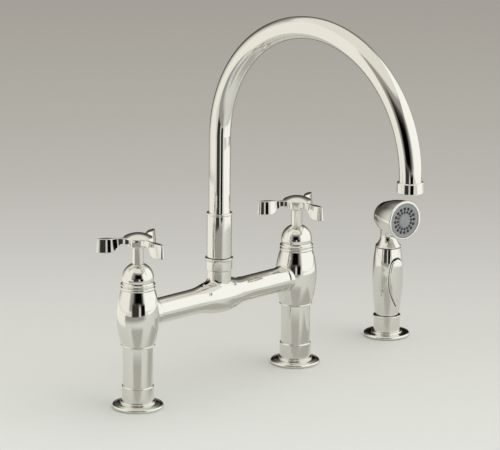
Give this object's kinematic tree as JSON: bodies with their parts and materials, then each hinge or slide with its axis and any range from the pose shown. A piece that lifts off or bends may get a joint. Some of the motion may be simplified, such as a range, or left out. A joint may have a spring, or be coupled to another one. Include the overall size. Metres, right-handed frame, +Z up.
{
  "type": "bridge kitchen faucet",
  "caption": "Two-handle deck-mounted bridge kitchen faucet with a high gooseneck spout, three-arm handles and a separate side sprayer in its holder.",
  "frame": {"origin": "on the deck's top face, midway between the two columns' axes", "axes": "+Z up, +X along the bridge towards the sprayer, -Y towards the sink, where the spout points"},
  "size_m": [0.3873, 0.2664, 0.4216],
  "materials": {
    "polished_nickel": "polished",
    "brass": "machined",
    "steel": "plain",
    "rubber": "moulded",
    "ceramic": "lapped alumina",
    "acetal": "moulded",
    "grey_plastic": "moulded"
  },
  "bodies": {
    "deck_set": {"bridge": "polished_nickel", "bridge_o_rings": "rubber", "deck_gaskets": "rubber", "deck_washers": "steel", "diverter_seat": "brass", "grub_screw": "polished_nickel", "holder_flange": "polished_nickel", "holder_gasket": "rubber", "holder_nut": "brass", "holder_washer": "steel", "left_base_ring": "polished_nickel", "left_bonnet": "polished_nickel", "left_cartridge": "brass", "left_deck_flange": "polished_nickel", "left_fixed_disc": "ceramic", "left_leg_tube": "polished_nickel", "left_seat_seal": "rubber", "left_threaded_shank": "brass", "left_valve_body": "polished_nickel", "lock_nuts": "brass", "right_base_ring": "polished_nickel", "right_bonnet": "polished_nickel", "right_cartridge": "brass", "right_deck_flange": "polished_nickel", "right_fixed_disc": "ceramic", "right_leg_tube": "polished_nickel", "right_seat_seal": "rubber", "right_threaded_shank": "brass", "right_valve_body": "polished_nickel", "spout_bush": "acetal", "spout_collar": "polished_nickel", "sprayer_holder": "polished_nickel", "stem_packings": "rubber"},
    "left_handle": {"left_handle": "polished_nickel", "left_handle_cap": "polished_nickel", "left_handle_screw": "steel", "left_stem": "brass", "left_moving_disc": "ceramic"},
    "right_handle": {"right_handle": "polished_nickel", "right_handle_cap": "polished_nickel", "right_handle_screw": "steel", "right_stem": "brass", "right_moving_disc": "ceramic"},
    "spout": {"spout": "polished_nickel", "spout_sleeve": "polished_nickel", "spout_o_rings": "rubber", "spout_clip": "steel", "aerator_shell": "polished_nickel", "aerator_insert": "acetal", "aerator_washer": "rubber"},
    "diverter": {"diverter_piston": "brass"},
    "hose_end": {"hose_coupling": "brass"},
    "sprayer": {"sprayer_grip": "polished_nickel", "sprayer_head": "polished_nickel", "spray_bezel": "polished_nickel", "spray_face": "grey_plastic", "lever_pin": "steel", "valve_spring": "steel"},
    "lever": {"spray_lever": "polished_nickel"},
    "plunger": {"valve_plunger": "brass"}
  },
  "joints": [
    {"name": "left_handle_turn", "type": "hinge", "parent": "deck_set", "child": "left_handle", "pos_m": [-0.1016, 0, 0.15], "axis": [0, 0, 1], "range_deg": [0, 90]},
    {"name": "right_handle_turn", "type": "hinge", "parent": "deck_set", "child": "right_handle", "pos_m": [0.1016, 0, 0.15], "axis": [0, 0, 1], "range_deg": [-90, 0]},
    {"name": "spout_swing", "type": "hinge", "parent": "deck_set", "child": "spout", "pos_m": [0, 0, 0.12], "axis": [0, 0, 1], "continuous": true},
    {"name": "sprayer_lift", "type": "slide", "parent": "deck_set", "child": "hose_end", "axis": [0, 0, 1], "range_m": [0, 0.12]},
    {"name": "sprayer_turn", "type": "hinge", "parent": "hose_end", "child": "sprayer", "pos_m": [0.2329, 0.0035, 0], "axis": [0, 0, 1], "continuous": true},
    {"name": "lever_press", "type": "hinge", "parent": "sprayer", "child": "lever", "pos_m": [0.23165, -0.00541, 0.0375], "axis": [-0.9903, 0.1392, 0], "range_deg": [0, 3], "stiffness_Nm_per_rad": 1, "springref_deg": -5.73},
    {"name": "plunger_slide", "type": "slide", "parent": "sprayer", "child": "plunger", "axis": [0.1392, 0.9903, 0], "range_m": [0, 0.0016], "deforming": ["valve_spring"]},
    {"name": "diverter_slide", "type": "slide", "parent": "deck_set", "child": "diverter", "axis": [0, 0, 1], "range_m": [0, 0.002]}
  ],
  "couplings": [
    {"joint": "plunger_slide", "follows": "lever_press", "m_per_rad": 0.0305},
    {"joint": "diverter_slide", "follows": "lever_press", "m_per_rad": 0.038}
  ]
}
